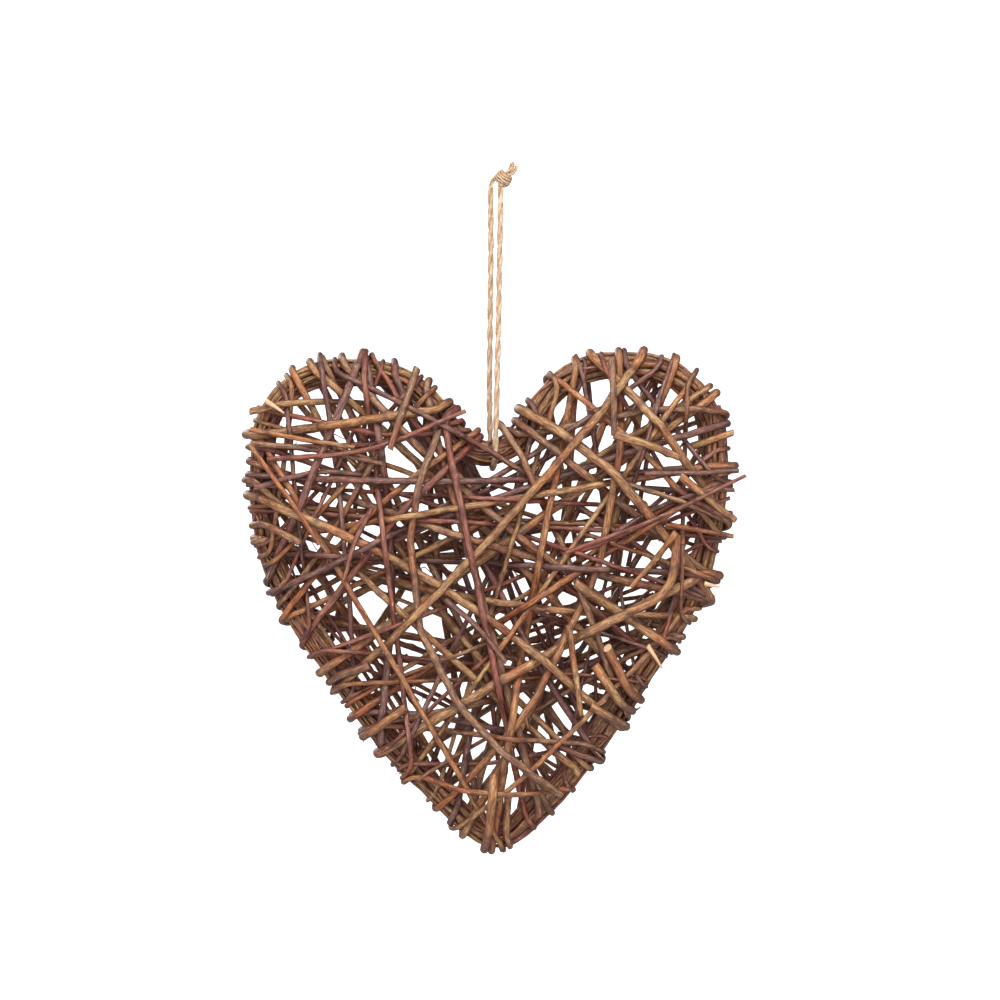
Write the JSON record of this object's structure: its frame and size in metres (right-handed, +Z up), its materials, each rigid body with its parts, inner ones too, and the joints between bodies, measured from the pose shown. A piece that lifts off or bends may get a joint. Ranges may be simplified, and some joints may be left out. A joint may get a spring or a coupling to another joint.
{
  "type": "wicker heart ornament",
  "caption": "Heart-shaped wicker ornament: long willow rods wound round a rim of rods bound on a wire, hung from a twine loop.",
  "frame": {"origin": "the point that hangs on a hook: inside the top of the twine loop, just under its knot, in the heart's middle plane", "axes": "+Z up along the twine, -Y out of the front face, +X to the right seen from the front"},
  "size_m": [0.2544, 0.077, 0.3472],
  "materials": {
    "plum": "dark purple-brown willow bark",
    "red": "red-brown willow bark",
    "orange": "orange-brown willow bark",
    "tan": "golden tan willow bark",
    "olive": "olive-brown willow bark",
    "rim": "weathered tan-brown willow bark",
    "steel": "plain galvanised wire",
    "jute": "undyed twisted jute"
  },
  "bodies": {
    "root": {"wire_frame": "steel", "rim_rod_1": "rim", "rim_rod_2": "rim", "rim_rod_3": "rim", "rim_rod_4": "rim", "rim_rod_5": "rim", "rim_rod_6": "rim", "hanging_twine": "jute", "twine_knot": "jute", "weaving_rod_01": "plum", "weaving_rod_02": "olive", "weaving_rod_03": "olive", "weaving_rod_04": "tan", "weaving_rod_05": "tan", "weaving_rod_06": "plum", "weaving_rod_07": "tan", "weaving_rod_08": "tan", "weaving_rod_09": "plum", "weaving_rod_10": "red", "weaving_rod_11": "tan", "weaving_rod_12": "olive", "weaving_rod_13": "olive", "weaving_rod_14": "olive", "weaving_rod_15": "red", "weaving_rod_16": "olive", "weaving_rod_17": "olive", "weaving_rod_18": "red", "weaving_rod_19": "plum", "weaving_rod_20": "plum", "weaving_rod_21": "red", "weaving_rod_22": "tan", "weaving_rod_23": "plum", "weaving_rod_24": "red", "weaving_rod_25": "orange", "weaving_rod_26": "orange", "weaving_rod_27": "orange", "weaving_rod_28": "tan", "weaving_rod_29": "olive", "weaving_rod_30": "tan", "weaving_rod_31": "tan", "weaving_rod_32": "olive", "weaving_rod_33": "tan", "weaving_rod_34": "tan", "weaving_rod_35": "tan", "weaving_rod_36": "red", "weaving_rod_37": "orange", "weaving_rod_38": "plum", "weaving_rod_39": "orange", "weaving_rod_40": "olive", "weaving_rod_41": "tan", "weaving_rod_42": "orange", "weaving_rod_43": "tan", "weaving_rod_44": "tan"}
  },
  "joints": []
}
